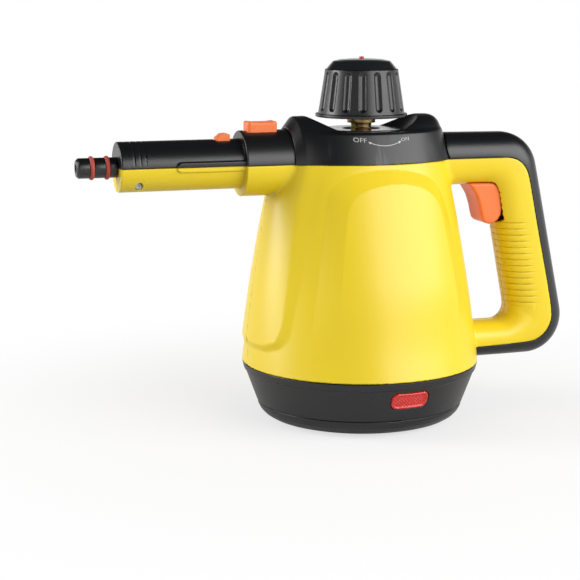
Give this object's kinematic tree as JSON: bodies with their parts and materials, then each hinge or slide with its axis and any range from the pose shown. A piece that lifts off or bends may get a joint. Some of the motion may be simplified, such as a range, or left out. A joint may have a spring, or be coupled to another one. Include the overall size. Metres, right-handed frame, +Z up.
{
  "type": "wallpaper steamer",
  "caption": "Handheld steamer: kettle-shaped two-tone housing on a conical base, loop handle with finger trigger, stub barrel with release latch, screwed filler cap and inner boiler.",
  "frame": {"origin": "centre of the round base, on the floor it stands on", "axes": "+Z up; the nozzle points to -X and the handle to +X; Y is across, and the lens is on the -Y side"},
  "size_m": [0.3078, 0.145, 0.2198],
  "materials": {
    "yellow_shell": "moulded, satin gloss",
    "black_shell": "moulded, satin",
    "orange_control": "moulded, satin gloss",
    "red_lens": "translucent, diamond pattern",
    "red_pin": "moulded",
    "lamp": "clear neon lamp",
    "steel": "plated",
    "brass": "turned",
    "alloy": "die cast",
    "rubber_black": "soft",
    "silicone_red": "soft",
    "ceramic": "white thermoset",
    "heater_sheath": "heat tinted"
  },
  "bodies": {
    "housing": {"body_shell_left": "yellow_shell", "body_shell_right": "yellow_shell", "top_cover": "black_shell", "barrel_cover": "black_shell", "handle_cover": "black_shell", "base_ring": "black_shell", "base_pan": "black_shell", "rubber_feet": "rubber_black", "pan_screws": "steel", "ring_screws": "steel", "shell_screws": "steel", "indicator_lens": "red_lens", "indicator_lamp": "lamp", "cord_gland": "black_shell", "terminal_block": "ceramic", "nozzle_tube": "black_shell", "o_rings": "silicone_red", "steam_pipe": "alloy", "valve_body": "brass", "valve_spring": "steel", "trigger_pin": "steel", "trigger_spring": "steel", "latch_pin": "steel", "latch_spring": "steel", "filler_plate": "black_shell", "filler_neck": "brass", "boiler_upper": "alloy", "boiler_lower": "alloy", "boiler_seal": "rubber_black", "boiler_bolt_set": "steel", "boiler_tray": "steel", "boiler_posts": "steel", "heating_element": "heater_sheath", "thermostat": "ceramic", "thermal_fuse": "steel", "relief_valve": "brass"},
    "link": {"push_link": "steel", "valve_plunger": "steel"},
    "trigger_lever": {"trigger": "orange_control"},
    "latch_lever": {"release_latch": "orange_control"},
    "cap_seal": {"cap_gasket": "silicone_red"},
    "cap_carrier": {"cap_spring": "steel"},
    "plug": {"cap_plug": "brass"},
    "knob": {"cap_knob": "black_shell", "cap_crown": "black_shell", "crown_pin": "red_pin"}
  },
  "joints": [
    {"name": "trigger_pull", "type": "hinge", "parent": "housing", "child": "trigger_lever", "pos_m": [0.08, 0, 0.1501], "axis": [0, -1, 0], "range_deg": [0, 10], "stiffness_Nm_per_rad": 0.5, "springref_deg": -11.46, "deforming": ["trigger_spring"]},
    {"name": "valve_push", "type": "slide", "parent": "housing", "child": "link", "axis": [-1, 0, 0], "range_m": [0, 0.00175], "deforming": ["valve_spring"]},
    {"name": "latch_press", "type": "hinge", "parent": "housing", "child": "latch_lever", "pos_m": [-0.042, 0, 0.1681], "axis": [0, -1, 0], "range_deg": [0, 4.5], "stiffness_Nm_per_rad": 0.3, "springref_deg": -8.59, "deforming": ["latch_spring"]},
    {"name": "cap_lift_off", "type": "slide", "parent": "housing", "child": "cap_seal", "axis": [0, 0, 1], "range_m": [0, 0.045]},
    {"name": "cap_rise", "type": "slide", "parent": "cap_seal", "child": "cap_carrier", "axis": [0, 0, 1], "range_m": [-0.0045, 0.006]},
    {"name": "cap_turn", "type": "hinge", "parent": "cap_carrier", "child": "plug", "pos_m": [0, 0, 0.18], "axis": [0, 0, 1], "range_deg": [-540, 720]},
    {"name": "cap_press", "type": "slide", "parent": "plug", "child": "knob", "axis": [0, 0, 1], "range_m": [-0.0025, 0], "stiffness_N_per_m": 2000, "springref_m": 0.003, "deforming": ["cap_spring"]}
  ],
  "couplings": [
    {"joint": "valve_push", "follows": "trigger_pull", "m_per_rad": 0.01},
    {"joint": "cap_rise", "follows": "cap_turn", "m_per_rad": 0.0004774}
  ]
}
